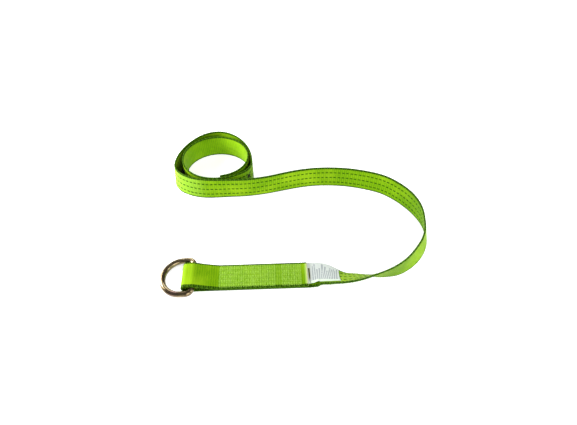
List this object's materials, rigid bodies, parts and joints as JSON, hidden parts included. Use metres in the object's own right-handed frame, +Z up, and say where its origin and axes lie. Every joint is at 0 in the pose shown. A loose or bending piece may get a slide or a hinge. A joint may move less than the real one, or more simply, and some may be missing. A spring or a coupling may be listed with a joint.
{
  "type": "webbing strap with d-ring",
  "caption": "Flat webbing strap with a D-ring sewn into a folded eye and a label past its stitching, its tail standing on edge and wound into a loose coil.",
  "frame": {"origin": "centre of the whole strap's bounding box, on the surface it lies on", "axes": "+X along the sewn end, from the ring towards the label; +Z up; +Y from the sewn end towards the coil"},
  "size_m": [0.5121, 0.3973, 0.0521],
  "materials": {
    "webbing": "woven polyester, lime green with dark green edges",
    "ring_plating": "yellow zinc plated steel",
    "label": "white printed label cloth",
    "thread": "pale green bonded polyester thread"
  },
  "bodies": {
    "webbing": {"webbing": "webbing", "ring_block_needle_thread": "thread", "ring_block_bobbin_thread": "thread", "middle_block_needle_thread": "thread", "middle_block_bobbin_thread": "thread", "end_block_needle_thread": "thread", "end_block_bobbin_thread": "thread"},
    "d_ring": {"d_ring": "ring_plating"},
    "label": {"label": "label"}
  },
  "joints": [
    {"name": "ring_swing", "type": "hinge", "parent": "webbing", "child": "d_ring", "pos_m": [-0.1945, -0.1575, 0.0092], "axis": [0, 1, 0], "range_deg": [0, 175]},
    {"name": "label_lift", "type": "hinge", "parent": "webbing", "child": "label", "pos_m": [0.015, -0.1585, 0.0042], "axis": [0, -1, 0], "range_deg": [0, 95]}
  ]
}
